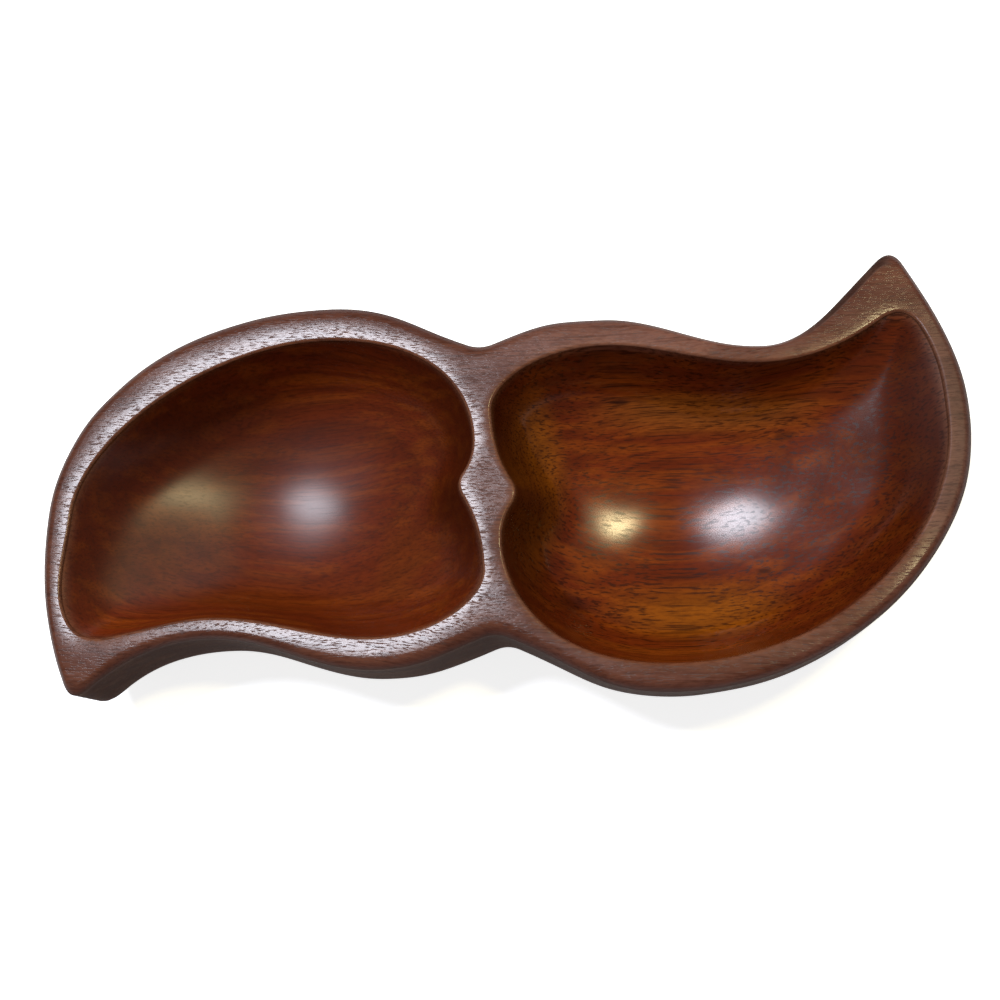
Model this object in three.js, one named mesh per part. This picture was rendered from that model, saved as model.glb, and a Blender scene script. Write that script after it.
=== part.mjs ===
// Two-compartment serving bowl, carved out of one block of reddish hardwood.
// In plan it is two curled leaves laid head to tail. Each leaf is described in its own frame, with
// "along" measured from the middle of the bowl towards the leaf's end and "across" measured from the
// bowl's long centre line, positive on the side of the leaf's tip. The left leaf is turned half a turn.
// Millimetres, +Z up. The origin lies on the resting face, under the middle of the divider.

import * as THREE from "three";

// Block
const HEIGHT = 50; // resting face to rim
const FLOOR_THICKNESS = 6; // wood under the deepest point of a pocket

// Outline of each leaf. rim is the width of wood between the outer edge and the pocket at that place.
// rise and fall are the angles, in degrees, at which an edge climbs to a point and drops from it.
// notch is where this leaf's edge starts, beside its tip. The other leaf's notch is where it stops.
// The pocket's floor is a shallow dish about the deepest point. Its radius of curvature is the one in the
// middle, and its slope, as rise for each millimetre, is the one that it tends to away from there.
const RIGHT_LEAF = {
  notch: { along: -4.5, across: 62, rim: 14 },
  shoulder: { along: 46, across: 73, rim: 12.6 },
  throat: { along: 112, across: 58, rim: 7.8 },
  tip: { along: 165, across: 99.5, rim: 16, rise: 46, fall: 63 },
  end: { along: 189.2, across: 24, rim: 9 },
  belly: { along: 71, across: -81.5, rim: 10.6 },
  bulge: { edge: 0.53, pocket: 0.54 },
  corner: { along: 168, across: 73.5, rise: 36, fall: 64 },
  deepest: { along: 75, across: -5 },
  dish: { radius: 105, slope: 0.6 },
};
const LEFT_LEAF = {
  notch: { along: -4.5, across: 58.5, rim: 14 },
  shoulder: { along: 46, across: 73.2, rim: 13 },
  throat: { along: 112, across: 60.6, rim: 8.6 },
  tip: { along: 170.3, across: 87, rim: 16, rise: 42, fall: 63 },
  end: { along: 191.2, across: 8, rim: 11.5 },
  belly: { along: 73, across: -84, rim: 15.6 },
  bulge: { edge: 0.575, pocket: 0.475 },
  corner: { along: 170, across: 62, rise: 9, fall: 60 },
  deepest: { along: 86, across: -6 },
  dish: { radius: 100, slope: 0.8 },
};
const TIP_ROUND = 9; // length of each edge that the rounding of a tip takes up
const CORNER_ROUND = 12; // the same, in the pocket's corner under the tip
const NOTCH_ROUND = 6; // the same, in the notches where the leaves meet on the outside
const NOTCH_SLOPE = 22; // angle of the two edges there, in degrees

// Divider between the pockets. Each pocket has a lobe above and below a cusp, as a heart has.
const DIVIDER_WIDTH = 8.8; // at its two narrow places
const DIVIDER_LEAN = 0.1; // sideways drift for each millimetre across the bowl
const UPPER_LOBE = 33; // where the lobes come nearest to the divider's middle line
const LOWER_LOBE = 23;
const CUSP = { width: 27, across: -2, angle: 58 };
const CUSP_ROUND = 6;

// Edges and walls
const CROWN_SHARE = 0.4; // how much of the rim's width slopes down towards the outer edge
const CROWN_DROP = 2.8; // height lost there
const CROWN_SWEEP = 65; // slope at the outer edge, in degrees
const LIP_ROUND = 1.4; // edge between the rim and a pocket
const FOOT_HEIGHT = 25; // where the wall starts to curve in to the resting face
// How far the wall leans out from the edge down to that height, at each named place of a leaf's edge
const WALL_FLARE = { notch: 0.5, shoulder: 0.6, throat: 1.2, tip: 0, end: 0.8, belly: -0.8 };
// How far in the resting face's edge lies, under each named place
const FOOT_INSET = { notch: 6, shoulder: 18, throat: 18, tip: 56, end: 18, belly: 18 };

// Pocket walls, which curve up from the dish to the edge
const WALL_REACH = 26; // distance from the edge at which the wall starts to rise
const WALL_BEND = 3.5; // how late it turns upright: larger is later and steeper
const CORNER_SCOOP = { depth: 6, reach: 24 }; // lowers the dish about the pocket's corner under the tip

// Fineness of the facets
const FACET_LENGTH = 6.5; // longest facet along an outline
const LEAST_FACETS = 5; // on the shortest curve
const CROWN_STEPS = 3;
const LIP_STEPS = 2;
const FOOT_STEPS = 7;
const POCKET_STEPS = 12;
const POCKET_CROWDING = 1.5; // larger draws a pocket's steps closer to its edge

// Handle lengths of the cubic curves, as shares of the distance covered along each handle
const QUARTER_ARC = 0.5523; // follows a quarter of an ellipse
const FLAT_ARC = 0.46; // a quarter turn with flatter sides
const LAZY_BEND = 0.38; // an S-bend, or a nearly straight run
const WOOD = new THREE.MeshStandardMaterial({ color: 0x5a2a17, roughness: 0.38, metalness: 0 });

const vector = (x, y) => new THREE.Vector2(x, y);
const place = ({ along, across }) => vector(along, across);
const heading = (degrees) => vector(1, 0).rotateAround(vector(0, 0), THREE.MathUtils.degToRad(degrees));

// A path that remembers where it is and the direction it moves in, so that its curves join smoothly.
class Outline {
  constructor(start, direction) {
    this.path = new THREE.Path().moveTo(start.x, start.y);
    this.at = start;
    this.direction = direction;
  }

  curveTo(end, direction, reach) {
    const chord = end.clone().sub(this.at);
    const handle = (tangent) => reach * Math.abs(chord.dot(tangent));
    const first = this.at.clone().addScaledVector(this.direction, handle(this.direction));
    const second = end.clone().addScaledVector(direction, -handle(direction));
    this.path.bezierCurveTo(first.x, first.y, second.x, second.y, end.x, end.y);
    this.at = end;
    this.direction = direction;
    return this;
  }

  // Runs up to a corner along one direction and away from it along another, rounding the corner itself.
  cornerTo(corner, incoming, outgoing, round, reach) {
    this.curveTo(corner.clone().addScaledVector(incoming, -round), incoming, reach);
    const after = corner.clone().addScaledVector(outgoing, round);
    this.path.quadraticCurveTo(corner.x, corner.y, after.x, after.y);
    this.at = after;
    this.direction = outgoing;
    return this;
  }

  // How many facets each curve of the outline takes.
  facets() {
    return this.path.curves.map((c) => Math.max(LEAST_FACETS, Math.ceil(c.getLength() / FACET_LENGTH)));
  }

  // Points along the outline, up to the last one but not including it.
  points(facets) {
    return this.path.curves.flatMap((curve, i) => curve.getPoints(facets[i]).slice(0, -1));
  }
}

const RIGHTWARD = heading(0);
const LEFTWARD = heading(180);
const DOWNWARD = heading(-90);
const UP_THE_DIVIDER = vector(-DIVIDER_LEAN, 1).normalize();

const halfTurn = (points) => points.map((p) => p.clone().negate());

// One leaf's outer edge, from the notch beside its tip round to the other leaf's notch.
// move gives the distance by which each named place on the edge is moved in.
function leafEdge(leaf, otherLeaf, move) {
  const inset = (spot, x, y) => place(leaf[spot]).add(vector(x, y).multiplyScalar(move(leaf, spot)));
  const intoNotch = heading(180 - NOTCH_SLOPE);
  const outOfNotch = heading(180 + NOTCH_SLOPE);
  const intoTip = heading(leaf.tip.rise);
  const outOfTip = heading(-leaf.tip.fall);
  const tipInward = outOfTip.clone().sub(intoTip).normalize();
  const lastNotch = place(otherLeaf.notch).add(vector(0, -move(otherLeaf, "notch"))).negate();
  const start = inset("notch", 0, -1).addScaledVector(outOfNotch, -NOTCH_ROUND);
  return new Outline(start, outOfNotch.clone().negate())
    .curveTo(inset("shoulder", 0, -1), RIGHTWARD, FLAT_ARC)
    .curveTo(inset("throat", 0, -1), RIGHTWARD, LAZY_BEND)
    .cornerTo(inset("tip", tipInward.x, tipInward.y), intoTip, outOfTip, TIP_ROUND, LAZY_BEND)
    .curveTo(inset("end", -1, 0), DOWNWARD, LAZY_BEND)
    .curveTo(inset("belly", 0, 1), LEFTWARD, leaf.bulge.edge)
    .cornerTo(lastNotch, intoNotch, outOfNotch, NOTCH_ROUND, FLAT_ARC);
}

// The bowl's whole outer edge. However it is moved, it keeps the facets of the edge in its own place.
function outerEdge(move) {
  const points = (leaf, otherLeaf) => {
    const facets = leafEdge(leaf, otherLeaf, () => 0).facets();
    return leafEdge(leaf, otherLeaf, move).points(facets);
  };
  return [...points(RIGHT_LEAF, LEFT_LEAF), ...halfTurn(points(LEFT_LEAF, RIGHT_LEAF))];
}

// The edge of one leaf's pocket, at the level of the rim.
function pocketEdge(leaf) {
  const lobe = (across) => vector(DIVIDER_WIDTH / 2 - DIVIDER_LEAN * across, across);
  const inset = (spot, x, y) => place(spot).add(vector(x, y).multiplyScalar(spot.rim));
  const cusp = vector(CUSP.width / 2, CUSP.across);
  const intoCusp = heading(CUSP.angle);
  const outOfCusp = heading(180 - CUSP.angle);
  const intoCorner = heading(leaf.corner.rise);
  const outOfCorner = heading(-leaf.corner.fall);
  const outline = new Outline(cusp.clone().addScaledVector(outOfCusp, CUSP_ROUND), outOfCusp)
    .curveTo(lobe(UPPER_LOBE), UP_THE_DIVIDER, LAZY_BEND)
    .curveTo(inset(leaf.shoulder, 0, -1), RIGHTWARD, QUARTER_ARC)
    .curveTo(inset(leaf.throat, 0, -1), RIGHTWARD, LAZY_BEND)
    .cornerTo(place(leaf.corner), intoCorner, outOfCorner, CORNER_ROUND, LAZY_BEND)
    .curveTo(inset(leaf.end, -1, 0), DOWNWARD, LAZY_BEND)
    .curveTo(inset(leaf.belly, 0, 1), LEFTWARD, leaf.bulge.pocket)
    .curveTo(lobe(-LOWER_LOBE), UP_THE_DIVIDER, QUARTER_ARC)
    .cornerTo(cusp, intoCusp, outOfCusp, CUSP_ROUND, LAZY_BEND);
  return outline.points(outline.facets());
}

// Widens a loop all round. Every loop here runs clockwise, so outwards is to the left of its direction.
function widen(loop, distance) {
  return loop.map((p, i) => {
    const before = loop.at(i - 1);
    const after = loop[(i + 1) % loop.length];
    const left = vector(before.y - after.y, after.x - before.x).normalize();
    return p.clone().addScaledVector(left, distance);
  });
}

// A closed skin of triangles, built up from rings of points that are bridged and capped.
class Skin {
  positions = [];
  triangles = [];

  // A ring of points, each at its own height.
  ring(loop, heights) {
    const first = this.positions.length / 3;
    loop.forEach((p, i) => this.positions.push(p.x, p.y, heights[i]));
    return loop.map((_, i) => first + i);
  }

  // A ring of points that are all at one height.
  level(loop, z) {
    return this.ring(loop, loop.map(() => z));
  }

  bridge(upper, lower) {
    upper.forEach((a, i) => {
      const next = (i + 1) % upper.length;
      this.triangles.push([a, lower[i], lower[next]], [a, lower[next], upper[next]]);
    });
  }

  fan(ring, centre) {
    ring.forEach((a, i) => this.triangles.push([a, centre, ring[(i + 1) % ring.length]]));
  }

  // Flat face inside one ring and outside the holes, facing up or down.
  cap(ring, holes, facing) {
    const flat = (i) => vector(this.positions[3 * i], this.positions[3 * i + 1]);
    const corners = [...ring, ...holes.flat()];
    const faces = THREE.ShapeUtils.triangulateShape(
      ring.map(flat),
      holes.map((hole) => hole.map(flat)),
    );
    for (const [a, b, c] of faces) {
      const turn = THREE.ShapeUtils.area([a, b, c].map((i) => flat(corners[i]))) * facing;
      const face = turn > 0 ? [a, b, c] : [a, c, b];
      this.triangles.push(face.map((i) => corners[i]));
    }
  }

  geometry() {
    return new THREE.BufferGeometry()
      .setAttribute("position", new THREE.Float32BufferAttribute(this.positions, 3))
      .setIndex(this.triangles.flat())
      .toNonIndexed();
  }
}

const range = (count) => Array.from({ length: count }, (_, i) => i + 1);
const quarterTurns = (count) => range(count).map((k) => (k / count) * (Math.PI / 2));

// Outside of the bowl: over the crown of the rim, down the upright wall and in to the resting face.
// Returns the ring where the rim's flat ends and the crown begins.
function carveOutside(skin) {
  const crown = outerEdge((leaf, spot) => CROWN_SHARE * leaf[spot].rim);
  const edge = outerEdge(() => 0);
  const waist = outerEdge((leaf, spot) => -WALL_FLARE[spot]);
  const foot = outerEdge((leaf, spot) => FOOT_INSET[spot]);
  const blend = (from, to, share) => from.map((p, i) => p.clone().lerp(to[i], share));
  let ring = skin.level(crown, HEIGHT);
  const rim = ring;
  const step = (loop, z) => {
    const next = skin.level(loop, z);
    skin.bridge(next, ring);
    ring = next;
  };
  const sweep = THREE.MathUtils.degToRad(CROWN_SWEEP);
  for (const k of range(CROWN_STEPS)) {
    const a = (k / CROWN_STEPS) * sweep;
    const drop = (CROWN_DROP * (1 - Math.cos(a))) / (1 - Math.cos(sweep));
    step(blend(crown, edge, Math.sin(a) / Math.sin(sweep)), HEIGHT - drop);
  }
  step(waist, FOOT_HEIGHT);
  for (const a of quarterTurns(FOOT_STEPS)) {
    step(blend(waist, foot, 1 - Math.cos(a)), FOOT_HEIGHT * (1 - Math.sin(a)));
  }
  skin.cap(ring, [], -1);
  return rim;
}

// Shortest distance in plan from a point to a loop.
function distanceTo(loop, p) {
  const gaps = loop.map((a, i) => {
    const side = loop[(i + 1) % loop.length].clone().sub(a);
    const share = THREE.MathUtils.clamp(p.clone().sub(a).dot(side) / side.lengthSq(), 0, 1);
    return side.multiplyScalar(share).add(a).distanceTo(p);
  });
  return Math.min(...gaps);
}

// A pocket, from the rim over its lip and down to its deepest point. Returns the ring at the rim.
function carvePocket(skin, leaf, turn) {
  const edge = turn(pocketEdge(leaf));
  const [deepest, corner] = turn([place(leaf.deepest), place(leaf.corner)]);
  const depth = HEIGHT - FLOOR_THICKNESS - LIP_ROUND;
  const spread = leaf.dish.slope * leaf.dish.radius;
  const height = (p) => {
    const rise = leaf.dish.slope * spread * (Math.hypot(1, p.distanceTo(deepest) / spread) - 1);
    const away = p.distanceTo(corner) / CORNER_SCOOP.reach;
    const scoop = CORNER_SCOOP.depth * Math.exp((-away * away) / 2);
    const wall = Math.max(0, 1 - distanceTo(edge, p) / WALL_REACH) ** WALL_BEND;
    return FLOOR_THICKNESS + THREE.MathUtils.lerp(Math.min(rise - scoop, depth), depth, wall);
  };
  let ring = skin.level(widen(edge, LIP_ROUND), HEIGHT);
  const rim = ring;
  const step = (loop, heights) => {
    const next = skin.ring(loop, heights);
    skin.bridge(ring, next);
    ring = next;
  };
  for (const a of quarterTurns(LIP_STEPS)) {
    const loop = widen(edge, LIP_ROUND * (1 - Math.sin(a)));
    step(loop, loop.map(() => HEIGHT - LIP_ROUND * (1 - Math.cos(a))));
  }
  for (const k of range(POCKET_STEPS - 1)) {
    const loop = edge.map((p) => p.clone().lerp(deepest, (k / POCKET_STEPS) ** POCKET_CROWDING));
    step(loop, loop.map(height));
  }
  const [bottom] = skin.level([deepest], FLOOR_THICKNESS);
  skin.fan(ring, bottom);
  return rim;
}

const skin = new Skin();
const rim = carveOutside(skin);
const rightPocket = carvePocket(skin, RIGHT_LEAF, (points) => points);
const leftPocket = carvePocket(skin, LEFT_LEAF, halfTurn);
skin.cap(rim, [rightPocket, leftPocket], 1);

const carvedBowl = new THREE.Mesh(skin.geometry(), WOOD);
carvedBowl.name = "carved_bowl";

const bowl = new THREE.Group();
bowl.add(carvedBowl);
export default bowl;
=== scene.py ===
"""Dresses the carved two-leaf serving bowl and sets it in a plain studio.

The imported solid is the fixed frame. A finer copy of the same carving, with the slight unevenness of hand
work, stands in for it and carries an oiled mahogany finish. Sizes are in millimetres until a mesh is made.
"""

import logging
import math
from dataclasses import dataclass, field
from enum import Enum
from typing import Any, Callable

import bpy
import numpy as np
from mathutils import Matrix, Vector, noise
from mathutils.geometry import delaunay_2d_cdt


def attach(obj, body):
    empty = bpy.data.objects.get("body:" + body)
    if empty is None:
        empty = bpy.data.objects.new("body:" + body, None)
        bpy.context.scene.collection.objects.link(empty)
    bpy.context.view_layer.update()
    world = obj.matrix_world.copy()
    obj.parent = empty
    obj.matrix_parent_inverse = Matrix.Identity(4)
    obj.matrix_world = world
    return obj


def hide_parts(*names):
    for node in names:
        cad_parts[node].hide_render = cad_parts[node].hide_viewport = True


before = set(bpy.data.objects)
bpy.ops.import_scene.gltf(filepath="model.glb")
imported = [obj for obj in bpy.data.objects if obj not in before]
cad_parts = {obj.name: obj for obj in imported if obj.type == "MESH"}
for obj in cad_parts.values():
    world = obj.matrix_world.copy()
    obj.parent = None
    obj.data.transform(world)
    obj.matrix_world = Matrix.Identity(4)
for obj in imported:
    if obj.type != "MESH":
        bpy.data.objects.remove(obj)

LOG = logging.getLogger("bowl")
MM = 0.001


def linear(hex_colour: str) -> tuple[float, float, float, float]:
    """Turns an sRGB hex colour into the linear one that Blender's sockets hold.

    Args:
        hex_colour: Six hex digits, such as "5a2a17".

    Returns:
        Linear red, green, blue and an alpha of 1.
    """
    parts = [int(hex_colour[i : i + 2], 16) / 255 for i in (0, 2, 4)]
    red, green, blue = (c / 12.92 if c <= 0.04045 else ((c + 0.055) / 1.055) ** 2.4 for c in parts)
    return red, green, blue, 1.0


def add(
    tree: bpy.types.NodeTree,
    kind: str,
    inputs: dict[Any, Any] | None = None,
    out: int | str = 0,
    **settings: Any,
) -> bpy.types.NodeSocket | None:
    """Adds one node to a tree, with its settings, values and links.

    Args:
        tree: The node tree that takes the node.
        kind: Blender's name for the kind of node.
        inputs: Socket name or number to a value, or to the output that is linked to it.
        out: Name or number of the output to hand back.
        settings: The node's own properties.

    Returns:
        The chosen output, or None for a node that has none.
    """
    node = tree.nodes.new(kind)
    for name, value in settings.items():
        setattr(node, name, value)
    for key, value in (inputs or {}).items():
        if isinstance(value, bpy.types.NodeSocket):
            tree.links.new(value, node.inputs[key])
        else:
            node.inputs[key].default_value = value
    return node.outputs[out] if node.outputs else None


def ramp(value: float | np.ndarray, start: float, full: float) -> float | np.ndarray:
    """Rises evenly from 0 at one value to 1 at another, and stays level beyond them."""
    return np.clip((value - start) / (full - start), 0, 1)


class Zone(Enum):
    """The parts of the surface that were worked differently or carry painted shade, by the name of their mesh
    attribute.
    """

    POCKET = "pocket_finish"
    CROWN = "rim_crown"
    WALL = "wall_finish"
    EDGE = "worn_edge"
    END_GRAIN = "end_grain"
    POLISH = "polish"


class Reach(Enum):
    """Handle lengths of the outline's curves, as shares of the distance covered along each handle."""

    QUARTER_ARC = 0.5523
    FLAT_ARC = 0.46
    LAZY_BEND = 0.38


def heading(degrees: float) -> np.ndarray:
    """Gives the plan direction at an angle from the bowl's long axis."""
    return np.array([math.cos(math.radians(degrees)), math.sin(math.radians(degrees))])


@dataclass(frozen=True)
class Spot:
    """A named place on a leaf, with the width of the rim and the angles of the edges that meet there."""

    along: float
    across: float
    rim: float = 0.0
    rise: float = 0.0
    fall: float = 0.0

    def point(self) -> np.ndarray:
        """Gives the place as a plan point."""
        return np.array([self.along, self.across])


@dataclass(frozen=True)
class Dish:
    """The shallow floor of a pocket: its radius of curvature in the middle and the slope that it tends to."""

    radius: float
    slope: float

    def rise(self, offset: np.ndarray) -> np.ndarray:
        """Gives the height above the deepest point.

        Args:
            offset: Plan offsets from the deepest point, one row each.

        Returns:
            One height per row.
        """
        spread = self.slope * self.radius
        away = np.linalg.norm(offset, axis=1) / spread
        return self.slope * spread * (np.hypot(1, away) - 1)


@dataclass(frozen=True)
class Leaf:
    """One curled leaf of the bowl, in its own frame: along to its end, across towards its tip."""

    notch: Spot
    shoulder: Spot
    throat: Spot
    tip: Spot
    end: Spot
    belly: Spot
    corner: Spot
    deepest: Spot
    dish: Dish
    polish: float
    rim_sag: float
    edge_bulge: float
    pocket_bulge: float


class Outline:
    """A plan path that remembers where it is and which way it moves, so that its curves join smoothly."""

    def __init__(self, start: np.ndarray, direction: np.ndarray) -> None:
        """Starts a path.

        Args:
            start: First point.
            direction: Unit direction in which the path leaves it.
        """
        self.curves: list[np.ndarray] = []
        self.at = start
        self.direction = direction

    def curve_to(self, end: np.ndarray, direction: np.ndarray, reach: float) -> "Outline":
        """Runs on to a point and arrives there along a direction.

        Args:
            end: Point to reach.
            direction: Unit direction of arrival.
            reach: Handle length as a share of the distance covered along each handle.

        Returns:
            The path itself.
        """
        chord = end - self.at
        first = self.at + self.direction * reach * abs(chord @ self.direction)
        second = end - direction * reach * abs(chord @ direction)
        self.curves.append(np.array([self.at, first, second, end]))
        self.at, self.direction = end, direction
        return self

    def corner_to(
        self, corner: np.ndarray, incoming: np.ndarray, outgoing: np.ndarray, rounding: float, reach: float
    ) -> "Outline":
        """Runs up to a corner along one direction and away along another, rounding the corner itself.

        Args:
            corner: Where the two edges would meet.
            incoming: Direction of the first edge.
            outgoing: Direction of the second edge.
            rounding: Length of each edge that the rounding takes up.
            reach: Handle length of the run up to the corner.

        Returns:
            The path itself.
        """
        self.curve_to(corner - incoming * rounding, incoming, reach)
        after = corner + outgoing * rounding
        self.curves.append(np.array([self.at, corner, after]))
        self.at, self.direction = after, outgoing
        return self

    def counts(self, facet: float) -> list[int]:
        """Says how many facets of at most a given length each curve takes."""
        spans = [np.linalg.norm(np.diff(curve, axis=0), axis=1).sum() for curve in self.curves]
        return [max(8, math.ceil(span / facet)) for span in spans]

    def points(self, counts: list[int]) -> np.ndarray:
        """Samples the path, without its last point.

        Args:
            counts: Facets on each curve.

        Returns:
            Plan points, one row each.
        """
        rows = []
        for curve, count in zip(self.curves, counts):
            share = np.linspace(0, 1, count, endpoint=False)[None, :, None]
            level = np.repeat(curve[:, None, :], count, axis=1)
            while len(level) > 1:
                level = level[:-1] * (1 - share) + level[1:] * share
            rows.append(level[0])
        return np.vstack(rows)


def widened(loop: np.ndarray, distance: float) -> np.ndarray:
    """Moves a clockwise loop outwards all round.

    Args:
        loop: Corners of the loop, in order.
        distance: How far it moves.

    Returns:
        The moved corners.
    """
    step = np.roll(loop, -1, axis=0) - np.roll(loop, 1, axis=0)
    left = np.column_stack([-step[:, 1], step[:, 0]])
    return loop + distance * left / np.linalg.norm(left, axis=1, keepdims=True)


def inside(points: np.ndarray, loop: np.ndarray) -> np.ndarray:
    """Tells which plan points lie inside a loop.

    Args:
        points: Plan points, one row each.
        loop: Corners of the loop, in order.

    Returns:
        One truth value per point.
    """
    found = np.zeros(len(points), bool)
    for (x0, y0), (x1, y1) in zip(loop, np.roll(loop, -1, axis=0)):
        if y0 == y1:
            continue
        straddles = (y0 > points[:, 1]) != (y1 > points[:, 1])
        found ^= straddles & (points[:, 0] < x0 + (points[:, 1] - y0) * (x1 - x0) / (y1 - y0))
    return found


@dataclass
class Skin:
    """A skin of vertices and faces that grows ring by ring, with a finish value per vertex for each zone."""

    places: list[np.ndarray] = field(default_factory=list)
    faces: list[tuple[int, ...]] = field(default_factory=list)
    zones: dict[Zone, list[float]] = field(default_factory=lambda: {zone: [] for zone in Zone})
    size: int = 0

    def ring(self, loop: np.ndarray, height: float | np.ndarray, **shares: float | np.ndarray) -> np.ndarray:
        """Adds a ring of points.

        Args:
            loop: Plan points, one row each.
            height: Their height, or one height per point.
            shares: Finish values by zone name in lower case. Zones not named get 0.

        Returns:
            The new vertices' numbers.
        """
        self.places.append(np.column_stack([loop, np.broadcast_to(height, len(loop))]))
        for zone, values in self.zones.items():
            values.extend(np.broadcast_to(shares.get(zone.name.lower(), 0.0), len(loop)))
        numbers = np.arange(self.size, self.size + len(loop))
        self.size += len(loop)
        return numbers

    def bridge(self, upper: np.ndarray, lower: np.ndarray) -> None:
        """Joins two rings of the same count with four-sided faces."""
        pairs = zip(upper, lower, np.roll(lower, -1), np.roll(upper, -1))
        self.faces.extend(tuple(int(i) for i in corners) for corners in pairs)

    def fan(self, ring: np.ndarray, centre: int) -> None:
        """Closes a ring with triangles to one vertex."""
        self.faces.extend((int(a), int(centre), int(b)) for a, b in zip(ring, np.roll(ring, -1)))


@dataclass(frozen=True)
class Fibre:
    """A pattern drawn out along the wood's fibres, in millimetres, that shows between two levels of noise."""

    length: float
    width: float
    low: float
    high: float
    detail: float = 2.0

    def lay(self, tree: bpy.types.NodeTree, place: bpy.types.NodeSocket) -> bpy.types.NodeSocket:
        """Lays the pattern in the wood.

        Args:
            tree: The material's tree.
            place: Coordinates in millimetres, with X along the fibres.

        Returns:
            How much of the pattern shows.
        """
        drawn = (1 / self.length, 1 / self.width, 1 / self.width)
        spread = add(tree, "ShaderNodeVectorMath", {0: place, 1: drawn}, operation="MULTIPLY")
        rough = add(tree, "ShaderNodeTexNoise", {"Vector": spread, "Scale": 1.0, "Detail": self.detail})
        shown = {0: rough, 1: self.low, 2: self.high}
        return add(tree, "ShaderNodeMapRange", shown, interpolation_type="SMOOTHSTEP")


@dataclass(frozen=True)
class Tint:
    """A colour, and how much of it covers what lies under it where its pattern shows fully."""

    colour: str
    strength: float


@dataclass(frozen=True)
class Figure:
    """A rounded body of paler or darker colour, in millimetres: mostly figures in the wood, some painted
    shade or sheen.
    """

    centre: tuple[float, float, float]
    radii: tuple[float, float, float]
    tint: Tint
    raggedness: float = 0.8
    fade_from: float = 1.5
    fade_to: float = 0.8

    def lay(
        self, tree: bpy.types.NodeTree, place: bpy.types.NodeSocket, wander: bpy.types.NodeSocket
    ) -> bpy.types.NodeSocket:
        """Lays the body in the wood, fading towards its skin.

        Args:
            tree: The material's tree.
            place: Coordinates in millimetres.
            wander: Slow noise that breaks up the body's skin.

        Returns:
            How much of the body's colour shows.
        """
        offset = add(tree, "ShaderNodeVectorMath", {0: place, 1: self.centre}, operation="SUBTRACT")
        unit = add(tree, "ShaderNodeVectorMath", {0: offset, 1: self.radii}, operation="DIVIDE")
        away = add(tree, "ShaderNodeVectorMath", {0: unit}, out="Value", operation="LENGTH")
        broken = {0: wander, 1: self.raggedness, 2: away}
        ragged = add(tree, "ShaderNodeMath", broken, operation="MULTIPLY_ADD")
        shown = {0: ragged, 1: self.fade_from, 2: self.fade_to}
        return add(tree, "ShaderNodeMapRange", shown, interpolation_type="SMOOTHSTEP")


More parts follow.
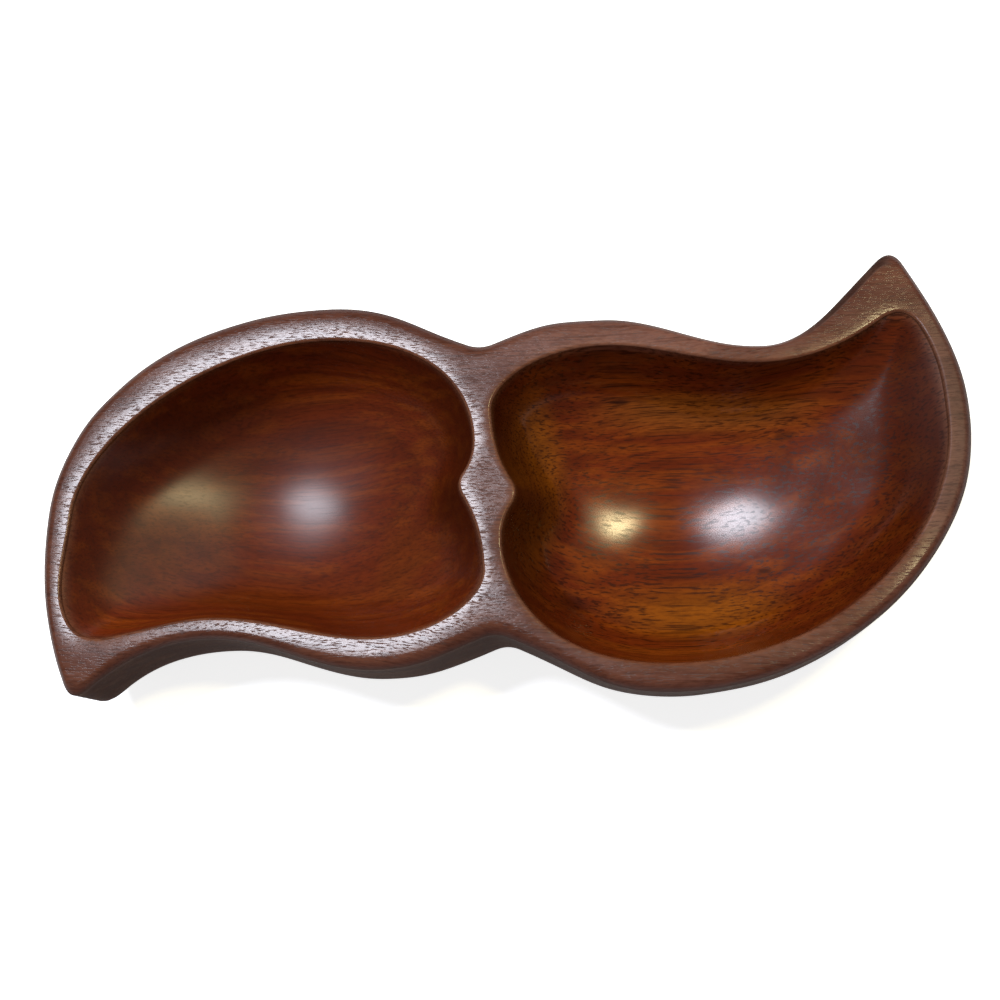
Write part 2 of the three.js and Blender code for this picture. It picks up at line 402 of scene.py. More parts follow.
@dataclass(frozen=True)
class OiledMahogany:
    """Mahogany type hardwood, carved, sanded and oiled by hand.

    The oil soaks the pockets to a deep red brown with a satin gloss. The rim is a duller mauve brown with
    a burnished sheen, broken by open pores. Its crown is a darker red with painted shade. The outer wall is
    dark and dull.
    """

    heart: str = "6c280a"
    # Slow clouds of deeper red and long amber ribbons give the oiled pockets their depth.
    cloud: Tint = Tint("561d07", 0.5)
    ribbon: Tint = Tint("93470d", 0.4)
    # Growth rings, dark vessel lines and a fine mottle draw the grain along the bowl.
    late_growth: Tint = Tint("361004", 0.25)
    vessel: Tint = Tint("200802", 0.72)
    mottled: Tint = Tint("361004", 0.3)
    # Oil soaks into the end grain and darkens it. This darkening, on all walls facing along the bowl, is also
    # painted shade on the pockets' end walls.
    soaked: Tint = Tint("260a03", 0.8)
    # The handled rim is dull, with dark open pores, a crown darkened with painted shade, and paler edges
    # where it is worn.
    dulled: Tint = Tint("5c3f35", 0.75)
    crown: Tint = Tint("43201a", 0.8)
    worn: Tint = Tint("8a5a3c", 0.5)
    open_pore: Tint = Tint("200802", 0.35)
    # The outer wall is darker than the rest, and shows faint weathered ribbons.
    dark_wall: Tint = Tint("2c1a12", 0.82)
    weathered: Tint = Tint("5a3c2c", 0.25)
    ring_spacing: float = 8.0
    ring_taper: float = 0.12
    late_from: float = 0.3
    late_full: float = 0.9
    ring_end: float = 0.92
    pith: tuple[float, float, float] = (0.0, 26.0, -120.0)
    wander: Fibre = Fibre(170.0, 70.0, 0.0, 1.0, 1.0)
    wander_reach: float = 24.0
    ribbons: Fibre = Fibre(100.0, 6.0, 0.42, 0.66)
    clouds: Fibre = Fibre(60.0, 36.0, 0.42, 0.68)
    vessels: Fibre = Fibre(34.0, 0.9, 0.5, 0.66, 3.0)
    mottle: Fibre = Fibre(4.0, 1.1, 0.4, 0.7)
    # An open pore is about 0.25 mm wide. It is drawn twice as wide, as it would not show otherwise.
    pores: Fibre = Fibre(3.6, 0.5, 0.55, 0.68, 1.0)
    # The scraper's marks that break the rim's sheen into glints are finer still, and drawn coarser too.
    scraped: Fibre = Fibre(2.0, 0.9, 0.3, 0.7, 1.0)
    gloss_pocket: float = 0.29
    gloss_polished: float = 0.18
    gloss_rim: float = 0.21
    gloss_crown: float = 0.55
    gloss_dry: float = 0.5
    gloss_wall: float = 0.95
    gloss_pore: float = 0.5
    # Share of the vessel lines that shows through where the wood isn't polished.
    veiled: float = 0.5
    vessel_dullness: float = 0.2
    scrape_share: float = 0.3
    relief: float = 0.3
    pore_depth: float = 0.1
    ior: float = 1.5
    specular: float = 0.25
    figures: tuple[Figure, ...] = (
        Figure((84.0, -44.0, 17.0), (58.0, 22.0, 16.0), Tint("86480a", 0.85)),
        Figure((86.0, 42.0, 20.0), (66.0, 13.0, 14.0), Tint("96551b", 0.6)),
        Figure((-84.0, -40.0, 18.0), (74.0, 17.0, 14.0), Tint("6a2c08", 0.5)),
        Figure((-42.0, -22.0, 19.0), (16.0, 22.0, 12.0), Tint("7c3a0c", 0.5)),
        Figure((16.0, 8.0, 32.0), (18.0, 60.0, 24.0), Tint("9a560f", 0.8)),
        Figure((-85.0, 0.0, 20.0), (95.0, 70.0, 40.0), Tint("401204", 0.35)),
        # Painted shade: darkens the right pocket's far end wall and corner.
        Figure((172.0, 35.0, 32.0), (34.0, 60.0, 34.0), Tint("341005", 0.5)),
        # Painted shade: darkens the left pocket's back wall under the rim.
        Figure((-110.0, 34.0, 22.0), (70.0, 30.0, 22.0), Tint("3c1608", 0.6)),
        Figure((34.0, -42.0, 22.0), (15.0, 9.0, 10.0), Tint("3a1407", 0.8)),
        Figure((53.0, 46.0, 20.4), (6.0, 2.0, 5.0), Tint("240d05", 0.7)),
        Figure((111.4, -28.2, 13.4), (5.0, 2.0, 5.0), Tint("240d05", 0.7)),
        Figure((121.9, 28.7, 18.5), (5.5, 2.2, 5.0), Tint("2c1108", 0.6)),
    )
    # The rim at the top of the right leaf is painted paler, a painted sheen.
    painted_rim_sheen: Figure = Figure((60.0, 66.0, 50.0), (80.0, 26.0, 8.0), Tint("8f6456", 0.45))
    # The right rim's far end and the left pocket's tip have dried out and lost their sheen.
    # The rim keeps its colour. The left pocket's tip is also darkened with painted shade.
    dry_and_shaded: tuple[Figure, ...] = (
        Figure((188.0, -4.0, 50.0), (30.0, 105.0, 30.0), Tint("5c3f35", 0.0)),
        Figure((-152.0, -32.0, 18.0), (36.0, 36.0, 26.0), Tint("361004", 0.3)),
    )

    def material(self) -> bpy.types.Material:
        """Makes the material.

        Returns:
            The finished material.
        """
        made = bpy.data.materials.new("oiled_mahogany_carved")
        made.use_nodes = True
        tree = made.node_tree
        tree.nodes.clear()
        place = add(tree, "ShaderNodeTexCoord", out="Object")
        mm = add(tree, "ShaderNodeVectorMath", {0: place, 1: (1 / MM,) * 3}, operation="MULTIPLY")
        wander = self.wander.lay(tree, mm)
        drift = add(tree, "ShaderNodeMath", {0: wander, 1: 0.5}, operation="SUBTRACT")
        shift = add(tree, "ShaderNodeCombineXYZ", {"Y": drift, "Z": drift})
        bent = {0: shift, 1: (0, self.wander_reach, self.wander_reach), 2: mm}
        grain = add(tree, "ShaderNodeVectorMath", bent, operation="MULTIPLY_ADD")
        zones = {
            zone: add(tree, "ShaderNodeAttribute", out="Fac", attribute_name=zone.value) for zone in Zone
        }
        rim = add(tree, "ShaderNodeMath", {0: 1.0, 1: zones[Zone.POCKET]}, operation="SUBTRACT")
        pores = self.pores.lay(tree, grain)
        broken = add(tree, "ShaderNodeMath", {0: pores, 1: rim}, operation="MULTIPLY")
        scraped = self.scraped.lay(tree, grain)
        marks = add(tree, "ShaderNodeMath", {0: scraped, 1: rim}, operation="MULTIPLY")
        bared = {0: zones[Zone.POLISH], 1: 1 - self.veiled, 2: self.veiled}
        clear = add(tree, "ShaderNodeMath", bared, operation="MULTIPLY_ADD")
        lines = self.vessels.lay(tree, grain)
        vessels = add(tree, "ShaderNodeMath", {0: lines, 1: clear}, operation="MULTIPLY")
        ribbons = self.ribbons.lay(tree, grain)
        weathered = add(tree, "ShaderNodeMath", {0: ribbons, 1: zones[Zone.WALL]}, operation="MULTIPLY")
        layers = [
            (self.clouds.lay(tree, mm), self.cloud),
            (ribbons, self.ribbon),
            *((figure.lay(tree, mm, wander), figure.tint) for figure in self.figures + self.dry_and_shaded),
            (zones[Zone.END_GRAIN], self.soaked),
            (rim, self.dulled),
            (self.painted_rim_sheen.lay(tree, mm, wander), self.painted_rim_sheen.tint),
            (zones[Zone.CROWN], self.crown),
            (zones[Zone.EDGE], self.worn),
            (zones[Zone.WALL], self.dark_wall),
            (weathered, self.weathered),
            (self.rings(tree, grain), self.late_growth),
            (vessels, self.vessel),
            (self.mottle.lay(tree, grain), self.mottled),
            (broken, self.open_pore),
        ]
        colour: Any = linear(self.heart)
        for share, tint in layers:
            amount = add(tree, "ShaderNodeMath", {0: share, 1: tint.strength}, operation="MULTIPLY")
            over = {0: amount, 6: colour, 7: linear(tint.colour)}
            colour = add(tree, "ShaderNodeMix", over, out=2, data_type="RGBA")
        streaks = add(tree, "ShaderNodeMath", {0: vessels, 1: self.vessel_dullness}, operation="MULTIPLY")
        gloss: Any = self.gloss_pocket
        for share, level in (
            (zones[Zone.POLISH], self.gloss_polished),
            (streaks, self.gloss_pore),
            (rim, self.gloss_rim),
            *((figure.lay(tree, mm, wander), self.gloss_dry) for figure in self.dry_and_shaded),
            (zones[Zone.CROWN], self.gloss_crown),
            (broken, self.gloss_pore),
            (zones[Zone.WALL], self.gloss_wall),
        ):
            gloss = add(tree, "ShaderNodeMix", {0: share, 2: gloss, 3: level})
        cut = {0: marks, 1: self.scrape_share, 2: broken}
        sunk = add(tree, "ShaderNodeMath", cut, operation="MULTIPLY_ADD")
        depth = {"Strength": self.relief, "Distance": self.pore_depth * MM, "Height": sunk}
        skin = {
            "Base Color": colour,
            "Roughness": gloss,
            "Normal": add(tree, "ShaderNodeBump", depth, invert=True),
            "IOR": self.ior,
            "Specular IOR Level": self.specular,
        }
        add(tree, "ShaderNodeOutputMaterial", {"Surface": add(tree, "ShaderNodeBsdfPrincipled", skin)})
        return made

    def rings(self, tree: bpy.types.NodeTree, grain: bpy.types.NodeSocket) -> bpy.types.NodeSocket:
        """Lays the growth rings, which darken slowly towards their outer side and end sharply.

        Args:
            tree: The material's tree.
            grain: Coordinates in millimetres, following the wandering grain.

        Returns:
            The darkness of the late growth.
        """
        offset = add(tree, "ShaderNodeVectorMath", {0: grain, 1: self.pith}, operation="SUBTRACT")
        taper = {0: offset, 1: (self.ring_taper, 1.0, 1.0)}
        across = add(tree, "ShaderNodeVectorMath", taper, operation="MULTIPLY")
        radius = add(tree, "ShaderNodeVectorMath", {0: across}, out="Value", operation="LENGTH")
        turns = add(tree, "ShaderNodeMath", {0: radius, 1: self.ring_spacing}, operation="DIVIDE")
        share = add(tree, "ShaderNodeMath", {0: turns}, operation="FRACT")
        darkens = {0: share, 1: self.late_from, 2: self.late_full}
        late = add(tree, "ShaderNodeMapRange", darkens, interpolation_type="SMOOTHSTEP")
        stops = {0: share, 1: 1.0, 2: self.ring_end}
        end = add(tree, "ShaderNodeMapRange", stops, interpolation_type="SMOOTHSTEP")
        return add(tree, "ShaderNodeMath", {0: late, 1: end}, operation="MULTIPLY")


@dataclass
class CarvedBowl:
    """The bowl: two pockets, the rim around them, the divider between them and the wall, all in one block."""

    finish: OiledMahogany
    height: float = 50.0
    floor_thickness: float = 6.0
    right: Leaf = Leaf(
        notch=Spot(-4.5, 62, 14),
        shoulder=Spot(46, 73, 12.6),
        throat=Spot(112, 58, 7.8),
        tip=Spot(165, 99.5, 16, 46, 63),
        end=Spot(189.2, 24, 9),
        belly=Spot(71, -81.5, 10.6),
        corner=Spot(168, 73.5, 0, 36, 64),
        deepest=Spot(75, -5),
        dish=Dish(105.0, 0.6),
        polish=1.0,
        rim_sag=0.15,
        edge_bulge=0.53,
        pocket_bulge=0.54,
    )
    left: Leaf = Leaf(
        notch=Spot(-4.5, 58.5, 14),
        shoulder=Spot(46, 73.2, 13),
        throat=Spot(112, 60.6, 8.6),
        tip=Spot(170.3, 87, 16, 42, 63),
        end=Spot(191.2, 8, 11.5),
        belly=Spot(73, -84, 15.6),
        corner=Spot(170, 62, 0, 9, 60),
        deepest=Spot(86, -6),
        dish=Dish(100.0, 0.8),
        polish=0.0,
        rim_sag=0.4,
        edge_bulge=0.575,
        pocket_bulge=0.475,
    )
    tip_round: float = 9.0
    corner_round: float = 12.0
    notch_round: float = 6.0
    notch_slope: float = 22.0
    divider_width: float = 8.8
    divider_lean: float = 0.1
    upper_lobe: float = 33.0
    lower_lobe: float = 23.0
    cusp: Spot = Spot(13.5, -2)
    cusp_angle: float = 58.0
    cusp_round: float = 6.0
    crown_share: float = 0.4
    crown_drop: float = 2.8
    crown_sweep: float = 65.0
    lip_round: float = 1.4
    wall_flare: dict[str, float] = field(
        default_factory=lambda: {
            "notch": 0.5, "shoulder": 0.6, "throat": 1.2, "tip": 0.0, "end": 0.8, "belly": -0.8
        }
    )
    foot_height: float = 25.0
    foot_inset: dict[str, float] = field(
        default_factory=lambda: {"notch": 6, "shoulder": 18, "throat": 18, "tip": 56, "end": 18, "belly": 18}
    )
    scoop_depth: float = 6.0
    scoop_reach: float = 24.0
    wall_reach: float = 26.0
    wall_bend: float = 3.5
    facet: float = 1.5
    crown_rows: int = 10
    foot_rows: int = 14
    lip_rows: int = 6
    pocket_rows: int = 60
    row_crowding: float = 1.5
    # Shares of the way down the wall, and of the way out across the resting face, at which rows lie.
    wall_levels: tuple[float, ...] = (0.02, 0.05, 0.1, 0.2, 0.35, 0.5, 0.75, 1.0)
    base_levels: tuple[float, ...] = (0.97, 0.9, 0.75, 0.5, 0.25)
    rim_cell: float = 3.0
    rim_margin: float = 0.6
    same_point: float = 1e-4
    rim_sag_width: float = 8.0
    sag_start: float = 30.0
    sag_end: float = 200.0
    tool_wave: float = 0.35
    tool_span: float = 26.0
    wave_start: float = 8.0
    # The crown's painted shade and the wall's darker colour set in over these shares of the way down the
    # crown, and down the wall.
    crown_shade: tuple[float, float] = (0.35, 0.85)
    crown_wall_blend: tuple[float, float] = (0.8, 1.1333)
    wall_blend: tuple[float, float] = (-0.15, 0.1)
    # The tip's inner side takes the wall's dark colour right up to the rim, as painted shade.
    tip_shade_side: float = 135.0
    tip_shade_turn: tuple[float, float] = (0.5, 1.0)
    tip_shade_along: tuple[float, float] = (120.0, 140.0)
    tip_shade_down: tuple[float, float] = (0.0, 0.25)
    # Below the lip, oil sets in and wear ends over these depths.
    soak: tuple[float, float] = (-3.0, 3.0)
    wear: tuple[float, float] = (1.5, -1.5)
    rim_wear: float = 0.4
    lip_wear: float = 0.6
    end_grain: tuple[float, float] = (0.2333, 0.9)

    def leaf_edge(self, leaf: Leaf, other: Leaf, move: Callable[[Leaf, str], float]) -> Outline:
        """Draws one leaf's outer edge, from the notch beside its tip round to the other leaf's notch.

        Args:
            leaf: The leaf.
            other: The leaf that it meets.
            move: Distance by which each named place is moved in.

        Returns:
            The edge, clockwise, in the leaf's own frame.
        """

        def inset(name: str, direction: np.ndarray) -> np.ndarray:
            """Gives a named place, moved in along a direction."""
            return getattr(leaf, name).point() + direction * move(leaf, name)

        into_notch, out_of_notch = heading(180 - self.notch_slope), heading(180 + self.notch_slope)
        into_tip, out_of_tip = heading(leaf.tip.rise), heading(-leaf.tip.fall)
        tip_inward = (out_of_tip - into_tip) / np.linalg.norm(out_of_tip - into_tip)
        last_notch = -(other.notch.point() + heading(-90) * move(other, "notch"))
        start = inset("notch", heading(-90)) - out_of_notch * self.notch_round
        lazy, flat = Reach.LAZY_BEND.value, Reach.FLAT_ARC.value
        return (
            Outline(start, -out_of_notch)
            .curve_to(inset("shoulder", heading(-90)), heading(0), flat)
            .curve_to(inset("throat", heading(-90)), heading(0), lazy)
            .corner_to(inset("tip", tip_inward), into_tip, out_of_tip, self.tip_round, lazy)
            .curve_to(inset("end", heading(180)), heading(-90), lazy)
            .curve_to(inset("belly", heading(90)), heading(180), leaf.edge_bulge)
            .corner_to(last_notch, into_notch, out_of_notch, self.notch_round, flat)
        )

    def outer_edge(self, move: Callable[[Leaf, str], float]) -> np.ndarray:
        """Draws the bowl's whole outer edge, moved in at its named places.

        Args:
            move: Distance by which each named place is moved in.

        Returns:
            Plan points, clockwise, as many whatever the distance.
        """
        halves = []
        for leaf, other in ((self.right, self.left), (self.left, self.right)):
            counts = self.leaf_edge(leaf, other, lambda _leaf, _name: 0.0).counts(self.facet)
            halves.append(self.leaf_edge(leaf, other, move).points(counts))
        return np.vstack([halves[0], -halves[1]])

    def pocket_edge(self, leaf: Leaf) -> np.ndarray:
        """Draws the edge of one leaf's pocket at the level of the rim.

        Args:
            leaf: The leaf.

        Returns:
            Plan points, clockwise, in the leaf's own frame.
        """

        def lobe(across: float) -> np.ndarray:
            """Gives the place where a lobe comes nearest to the divider's middle line."""
            return np.array([self.divider_width / 2 - self.divider_lean * across, across])

        def inset(spot: Spot, direction: np.ndarray) -> np.ndarray:
            """Gives the pocket's edge beside a named place of the outer edge."""
            return spot.point() + direction * spot.rim

        up_the_divider = np.array([-self.divider_lean, 1.0]) / math.hypot(self.divider_lean, 1.0)
        into_cusp, out_of_cusp = heading(self.cusp_angle), heading(180 - self.cusp_angle)
        into_corner, out_of_corner = heading(leaf.corner.rise), heading(-leaf.corner.fall)
        lazy, quarter = Reach.LAZY_BEND.value, Reach.QUARTER_ARC.value
        outline = (
            Outline(self.cusp.point() + out_of_cusp * self.cusp_round, out_of_cusp)
            .curve_to(lobe(self.upper_lobe), up_the_divider, lazy)
            .curve_to(inset(leaf.shoulder, heading(-90)), heading(0), quarter)
            .curve_to(inset(leaf.throat, heading(-90)), heading(0), lazy)
            .corner_to(leaf.corner.point(), into_corner, out_of_corner, self.corner_round, lazy)
            .curve_to(inset(leaf.end, heading(180)), heading(-90), lazy)
            .curve_to(inset(leaf.belly, heading(90)), heading(180), leaf.pocket_bulge)
            .curve_to(lobe(-self.lower_lobe), up_the_divider, quarter)
            .corner_to(self.cusp.point(), into_cusp, out_of_cusp, self.cusp_round, lazy)
        )
        return outline.points(outline.counts(self.facet))

    def carve_outside(self, skin: Skin) -> np.ndarray:
        """Carves the crown of the rim, the wall, the curve under it and the resting face.

        Args:
            skin: The skin that takes the faces.

        Returns:
            The ring where the rim's flat ends and the crown begins.
        """
        crown = self.outer_edge(lambda leaf, name: self.crown_share * getattr(leaf, name).rim)
        edge = self.outer_edge(lambda _leaf, _name: 0.0)
        waist = self.outer_edge(lambda _leaf, name: -self.wall_flare[name])
        foot = self.outer_edge(lambda _leaf, name: self.foot_inset[name])
        rim = ring = skin.ring(crown, self.height)
        outward = widened(edge, 1.0) - edge
        turned = ramp(outward @ heading(self.tip_shade_side), *self.tip_shade_turn)
        tip_shade = turned * ramp(edge[:, 0], *self.tip_shade_along)
        sweep = math.radians(self.crown_sweep)
        levels: list[tuple[np.ndarray, float, dict[str, Any]]] = []
        for turn in np.linspace(0, sweep, self.crown_rows + 1)[1:]:
            drop = self.crown_drop * (1 - math.cos(turn)) / (1 - math.cos(sweep))
            share = math.sin(turn) / math.sin(sweep)
            wall_and_tip_shade = np.maximum(tip_shade * ramp(share, *self.tip_shade_down), ramp(share, *self.crown_wall_blend))
            shaded = {"crown": ramp(share, *self.crown_shade), "wall": wall_and_tip_shade}
            levels.append((crown + (edge - crown) * share, self.height - drop, shaded))
        top = self.height - self.crown_drop
        for share in self.wall_levels:
            height = top + (self.foot_height - top) * share
            shaded = {"crown": 1.0, "wall": np.maximum(tip_shade, ramp(share, *self.wall_blend))}
            levels.append((edge + (waist - edge) * share, height, shaded))
        for turn in np.linspace(0, math.pi / 2, self.foot_rows + 1)[1:]:
            loop = waist + (foot - waist) * (1 - math.cos(turn))
            levels.append((loop, self.foot_height * (1 - math.sin(turn)), {"wall": 1.0}))
        levels.extend((foot * share, 0.0, {"wall": 1.0}) for share in self.base_levels)
        for loop, height, shares in levels:
            lower = skin.ring(loop, height, **shares)
            skin.bridge(lower, ring)
            ring = lower
        centre = skin.ring(np.zeros((1, 2)), 0.0, wall=1.0)[0]
        skin.fan(ring[::-1], centre)
        return rim

    def carve_pocket(self, skin: Skin, leaf: Leaf, turn: float) -> np.ndarray:
        """Carves one pocket, over its lip and down to its deepest point.

        Args:
            skin: The skin that takes the faces.
            leaf: The leaf that the pocket is in.
            turn: 1 for the right leaf, or -1 for the left one, which is turned half a turn.

        Returns:
            The ring where the rim's flat meets the lip.
        """
        edge = turn * self.pocket_edge(leaf)
        deepest = turn * leaf.deepest.point()
        rim = ring = skin.ring(widened(edge, self.lip_round), self.height, edge=self.rim_wear)
        for arc in np.linspace(0, math.pi / 2, self.lip_rows + 1)[1:]:
            loop = widened(edge, self.lip_round * (1 - math.sin(arc)))
            height = self.height - self.lip_round * (1 - math.cos(arc))
            lower = skin.ring(loop, height, pocket=arc / math.pi, edge=self.lip_wear)
            skin.bridge(ring, lower)
            ring = lower
        for share in np.linspace(0, 1, self.pocket_rows + 1)[1:-1] ** self.row_crowding:
            loop = edge + (deepest - edge) * share
            height = self.pocket_height(turn * loop, turn * edge, leaf)
            down = self.height - self.lip_round - height
            soaked, worn = ramp(down, *self.soak), ramp(down, *self.wear)
            lower = skin.ring(loop, height, pocket=soaked, edge=worn, polish=leaf.polish)
            skin.bridge(ring, lower)
            ring = lower
        bottom = skin.ring(deepest[None, :], self.floor_thickness, pocket=1.0, polish=leaf.polish)[0]
        skin.fan(ring, bottom)
        return rim

    def pocket_height(self, points: np.ndarray, edge: np.ndarray, leaf: Leaf) -> np.ndarray:
        """Gives the height of a pocket: a shallow dish, with a wall that curves up from it near the edge.

        A scoop lowers the dish in the corner under the tip, so that the wall keeps some height there.

        Args:
            points: Plan points inside the pocket, one row each, in the leaf's own frame.
            edge: The pocket's edge at the rim, in the same frame.
            leaf: The leaf that the pocket is in.

        Returns:
            One height per point.
        """
        side = np.roll(edge, -1, axis=0) - edge
        offset = points[:, None, :] - edge[None]
        along = np.clip((offset * side).sum(axis=2) / (side * side).sum(axis=1), 0, 1)
        gap = np.linalg.norm(offset - along[..., None] * side, axis=2).min(axis=1)
        depth = self.height - self.floor_thickness - self.lip_round
        dish = leaf.dish.rise(points - leaf.deepest.point())
        away = np.linalg.norm(points - leaf.corner.point(), axis=1) / self.scoop_reach
        dish = np.minimum(dish - self.scoop_depth * np.exp(-(away**2) / 2), depth)
        wall = ramp(gap, self.wall_reach, 0) ** self.wall_bend
        return self.floor_thickness + dish * (1 - wall) + depth * wall

    def level_rim(self, skin: Skin, outer: np.ndarray, pockets: list[np.ndarray]) -> None:
        """Fills the flat of the rim between the crown and the two lips with small even faces.

        Args:
            skin: The skin that takes the faces.
            outer: Ring where the crown begins.
            pockets: Rings of the two lips.
        """
        flat = np.vstack(skin.places)[:, :2]
        border, holes = flat[outer], [flat[ring] for ring in pockets]
        low, high = border.min(axis=0), border.max(axis=0)
        rows = np.arange(low[1], high[1], self.rim_cell * math.sqrt(3) / 2)
        columns = np.arange(low[0], high[0], self.rim_cell)
        cells = np.vstack([
            np.column_stack([columns + i % 2 * self.rim_cell / 2, np.full(len(columns), y)])
            for i, y in enumerate(rows)
        ])
        keep = inside(cells, border)
        for hole in holes:
            keep &= ~inside(cells, hole)
        for loop in (border, *holes):
            gaps = np.linalg.norm(cells[:, None, :] - loop[None, ::2, :], axis=2).min(axis=1)
            keep &= gaps > self.rim_cell * self.rim_margin
        fill = cells[keep]
        numbers = np.concatenate([outer, *pockets, skin.ring(fill, self.height)])
        flat = np.vstack([border, *holes, fill])
        bounds, edges = 0, []
        for loop in (border, *holes):
            count = len(loop)
            edges.extend((bounds + i, bounds + (i + 1) % count) for i in range(count))
            bounds += count
        spread = [Vector(point) for point in flat]
        points, _, faces, origins, _, _ = delaunay_2d_cdt(spread, edges, [], 0, self.same_point)
        middles = np.array([np.mean([points[i] for i in face], axis=0) for face in faces])
        keep = inside(middles, border)
        for hole in holes:
            keep &= ~inside(middles, hole)
        for face, kept in zip(faces, keep):
            if kept:
                skin.faces.append(tuple(int(numbers[origins[i][0]]) for i in face))

    def sagged(self, places: np.ndarray) -> np.ndarray:
        """Lets the rim fall slightly towards the pockets, as worn rims do, and the top of the walls with it.

        Args:
            places: Vertices, in millimetres.

        Returns:
            The moved vertices.
        """
        moved = places.copy()
        near = np.flatnonzero(places[:, 2] > self.height - self.rim_sag_width)
        flat = places[near, :2]
        fade = ramp(places[near, 2], self.height - self.rim_sag_width, self.height)
        for leaf, turn in ((self.right, 1), (self.left, -1)):
            lip = widened(turn * self.pocket_edge(leaf), self.lip_round)
            gap = np.array([np.hypot(*(lip - point).T).min() for point in flat])
            level = np.where(inside(flat, lip), 1.0, ramp(gap, self.rim_sag_width, 0) ** 2)
            along = turn * flat[:, 0]
            level *= ramp(along, 0, self.sag_start) * ramp(along, self.sag_end, self.sag_end - self.sag_start)
            moved[near, 2] -= leaf.rim_sag * level * fade
        return moved

    def uneven(self, places: np.ndarray, normals: np.ndarray) -> np.ndarray:
        """Gives the surface the slight waves of hand work, fading out towards the resting face.

        Args:
            places: Vertices, in millimetres.
            normals: Their unit normals.

        Returns:
            The moved vertices.
        """
        waves = np.array([noise.noise(Vector(p / self.tool_span)) for p in places])
        fade = ramp(places[:, 2], 0, self.wave_start)
        return places + normals * (waves * fade * self.tool_wave)[:, None]

    def build(self) -> bpy.types.Object:
        """Makes the bowl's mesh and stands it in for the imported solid.

        Returns:
            The bowl, without its finish.
        """
        skin = Skin()
        crown = self.carve_outside(skin)
        pockets = [self.carve_pocket(skin, self.right, 1), self.carve_pocket(skin, self.left, -1)]
        self.level_rim(skin, crown, pockets)
        places = self.sagged(np.vstack(skin.places))
        mesh = bpy.data.meshes.new("carved_bowl_block")
        mesh.from_pydata(places * MM, [], skin.faces)
        normals = np.zeros(len(places) * 3)
        mesh.vertices.foreach_get("normal", normals)
        normals = normals.reshape(-1, 3)
        moved = self.uneven(places, normals)
        skin.zones[Zone.END_GRAIN] = list(ramp(np.abs(normals[:, 0]), *self.end_grain))
        mesh.vertices.foreach_set("co", (moved * MM).ravel())
        for zone, values in skin.zones.items():
            mesh.attributes.new(zone.value, "FLOAT", "POINT").data.foreach_set("value", values)
        mesh.shade_smooth()
        mesh.validate()
        mesh.update()
        bowl = bpy.data.objects.new("carved_bowl_block", mesh)
        bpy.context.scene.collection.objects.link(bowl)
        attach(bowl, "root")
        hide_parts("carved_bowl")
        return bowl

    def dress(self, bowl: bpy.types.Object) -> None:
        """Gives the bowl its finish."""
        bowl.data.materials.append(self.finish.material())


@dataclass(frozen=True)
class Lamp:
    """A soft oval lamp that faces the bowl, with its width turned along the bowl."""

    name: str
    place: tuple[float, float, float]
    width: float
    depth: float
    power: float
    colour: str

    def hang(self) -> None:
        """Hangs the lamp."""
        data = bpy.data.lights.new(self.name, "AREA")
        data.shape, data.size, data.size_y = "ELLIPSE", self.width, self.depth
        data.energy, data.color = self.power, linear(self.colour)[:3]
        lamp = bpy.data.objects.new(self.name, data)
        lamp.location = self.place
        facing = Vector(self.place).normalized()
        across = facing.cross(Vector((1.0, 0.0, 0.0))).normalized()
        turn = Matrix((across.cross(facing), across, facing)).transposed()
        lamp.rotation_euler = turn.to_euler()
        bpy.context.scene.collection.objects.link(lamp)


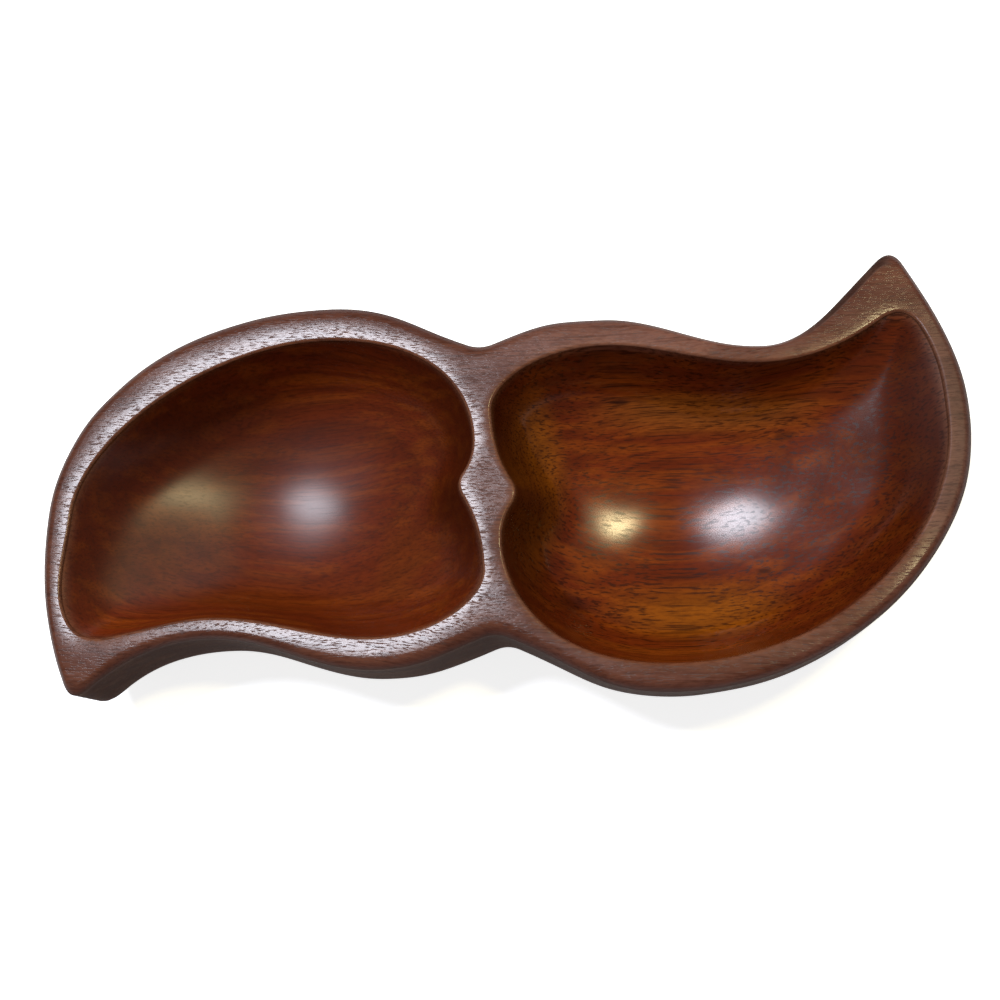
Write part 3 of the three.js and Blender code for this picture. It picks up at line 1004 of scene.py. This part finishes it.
@dataclass
class Studio:
    """A pale floor, soft lamps and the camera at the photograph's viewing angle. Places are in metres."""

    lamps: tuple[Lamp, ...] = (
        Lamp("window", (-0.95, 0.78, 2.78), 0.92, 0.64, 80.0, "eef3ff"),
        Lamp("warm_lamp", (1.05, 0.75, 2.7), 0.3, 0.4, 33.0, "fff0b8"),
    )
    ambient: float = 0.13
    paper_colour: str = "ececec"
    paper_roughness: float = 0.9
    floor_lift: float = 0.8
    floor_reach: float = 15.0
    floor_level: float = -0.0003
    floor_sides: int = 96
    backdrop_height: float = 2.9
    camera_place: tuple[float, float, float] = (0.0702, -0.1279, 0.4704)
    camera_right: tuple[float, float, float] = (0.98901, 0.01820, -0.14672)
    camera_up: tuple[float, float, float] = (0.02331, 0.96077, 0.27637)
    lens: float = 39.6
    sensor: float = 36.0
    clip: tuple[float, float] = (0.01, 30.0)

    def paper(self) -> bpy.types.Material:
        """Makes matt white paper, which adds light of its own where it is seen, so that it looks white.

        Returns:
            The finished material.
        """
        made = bpy.data.materials.new("matt_paper_floor")
        made.use_nodes = True
        tree = made.node_tree
        tree.nodes.clear()
        path = add(tree, "ShaderNodeLightPath", out="Is Camera Ray").node
        seen = path.outputs["Is Camera Ray"]
        for ray in ("Is Glossy Ray", "Is Transmission Ray"):
            seen = add(tree, "ShaderNodeMath", {0: seen, 1: path.outputs[ray]}, operation="MAXIMUM")
        glow = add(tree, "ShaderNodeMath", {0: seen, 1: self.floor_lift}, operation="MULTIPLY")
        sheet = {
            "Base Color": linear(self.paper_colour),
            "Roughness": self.paper_roughness,
            "Specular IOR Level": 0.0,
            "Emission Color": (1.0, 1.0, 1.0, 1.0),
            "Emission Strength": glow,
        }
        add(tree, "ShaderNodeOutputMaterial", {"Surface": add(tree, "ShaderNodeBsdfPrincipled", sheet)})
        return made

    def lay_floor(self) -> None:
        """Lays a pale floor that keeps the bowl's shadow, with a low backdrop of the same paper far off."""
        sides, reach = self.floor_sides, self.floor_reach
        turns = [2 * math.pi * side / sides for side in range(sides)]
        foot = [(reach * math.cos(turn), reach * math.sin(turn), self.floor_level) for turn in turns]
        head = [(x, y, self.backdrop_height) for x, y, _ in foot]
        ring = list(range(sides))
        walls = [(i, k, k + sides, i + sides) for i, k in zip(ring, ring[1:] + ring[:1])]
        mesh = bpy.data.meshes.new("studio_floor")
        mesh.from_pydata(foot + head, [], [tuple(ring), *walls])
        mesh.materials.append(self.paper())
        floor = bpy.data.objects.new("studio_floor", mesh)
        bpy.context.scene.collection.objects.link(floor)

    def light(self) -> None:
        """Hangs the lamps and sets the even light of the room."""
        for lamp in self.lamps:
            lamp.hang()
        world = bpy.data.worlds.new("studio_room")
        world.use_nodes = True
        tree = world.node_tree
        tree.nodes.clear()
        room = add(tree, "ShaderNodeBackground", {"Color": (1.0, 1.0, 1.0, 1.0), "Strength": self.ambient})
        add(tree, "ShaderNodeOutputWorld", {"Surface": room})
        bpy.context.scene.world = world

    def set_camera(self) -> None:
        """Sets the camera where the photograph was taken from."""
        data = bpy.data.cameras.new("camera")
        data.lens, data.sensor_width, data.sensor_fit = self.lens, self.sensor, "HORIZONTAL"
        data.clip_start, data.clip_end = self.clip
        camera = bpy.data.objects.new("camera", data)
        right, up = Vector(self.camera_right).normalized(), Vector(self.camera_up).normalized()
        turn = Matrix((right, up, right.cross(up))).transposed().to_4x4()
        camera.matrix_world = Matrix.Translation(self.camera_place) @ turn
        bpy.context.scene.collection.objects.link(camera)
        bpy.context.scene.camera = camera


def main() -> None:
    """Builds the bowl and the studio around it."""
    logging.basicConfig(level=logging.INFO, format="%(name)s: %(message)s")
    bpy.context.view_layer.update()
    maker = CarvedBowl(OiledMahogany())
    bowl = maker.build()
    maker.dress(bowl)
    LOG.info("%s: %d vertices, %d faces", bowl.name, len(bowl.data.vertices), len(bowl.data.polygons))
    studio = Studio()
    studio.lay_floor()
    studio.light()
    studio.set_camera()
    LOG.info("studio: floor, %d lamps and camera", len(studio.lamps))
    bpy.context.scene.view_settings.view_transform = "Standard"


if __name__ == "__main__":
    main()
